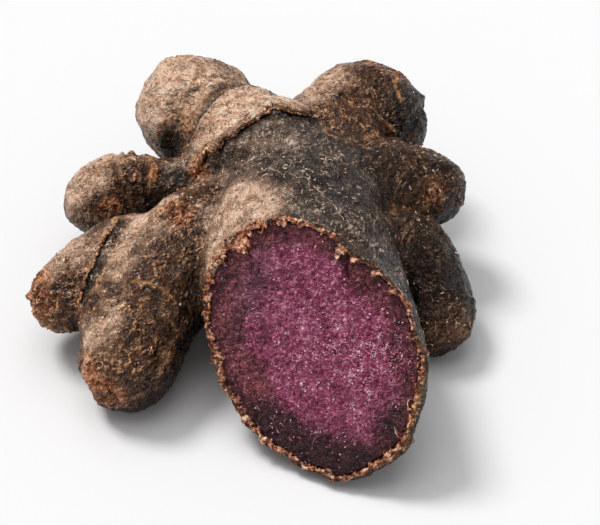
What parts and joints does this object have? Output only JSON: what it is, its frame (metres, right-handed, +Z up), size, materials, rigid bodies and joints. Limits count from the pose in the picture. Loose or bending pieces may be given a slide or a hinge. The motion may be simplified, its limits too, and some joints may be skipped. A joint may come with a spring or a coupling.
{
  "type": "ginger rhizome",
  "caption": "Knobbly black ginger rhizome with stubby rounded fingers and one thick finger sliced across at a slant, showing purple flesh.",
  "frame": {"origin": "middle of the part's box, at the surface that it rests on", "axes": "+Z up, out of the belly that the rhizome lies on; -Y the way the sliced finger points; +X to the right of someone who faces the slice"},
  "size_m": [0.0836, 0.0944, 0.0361],
  "materials": {
    "skin": "dark brown scaly peel with a dull satin sheen"
  },
  "bodies": {
    "root": {"rhizome": "skin"}
  },
  "joints": []
}
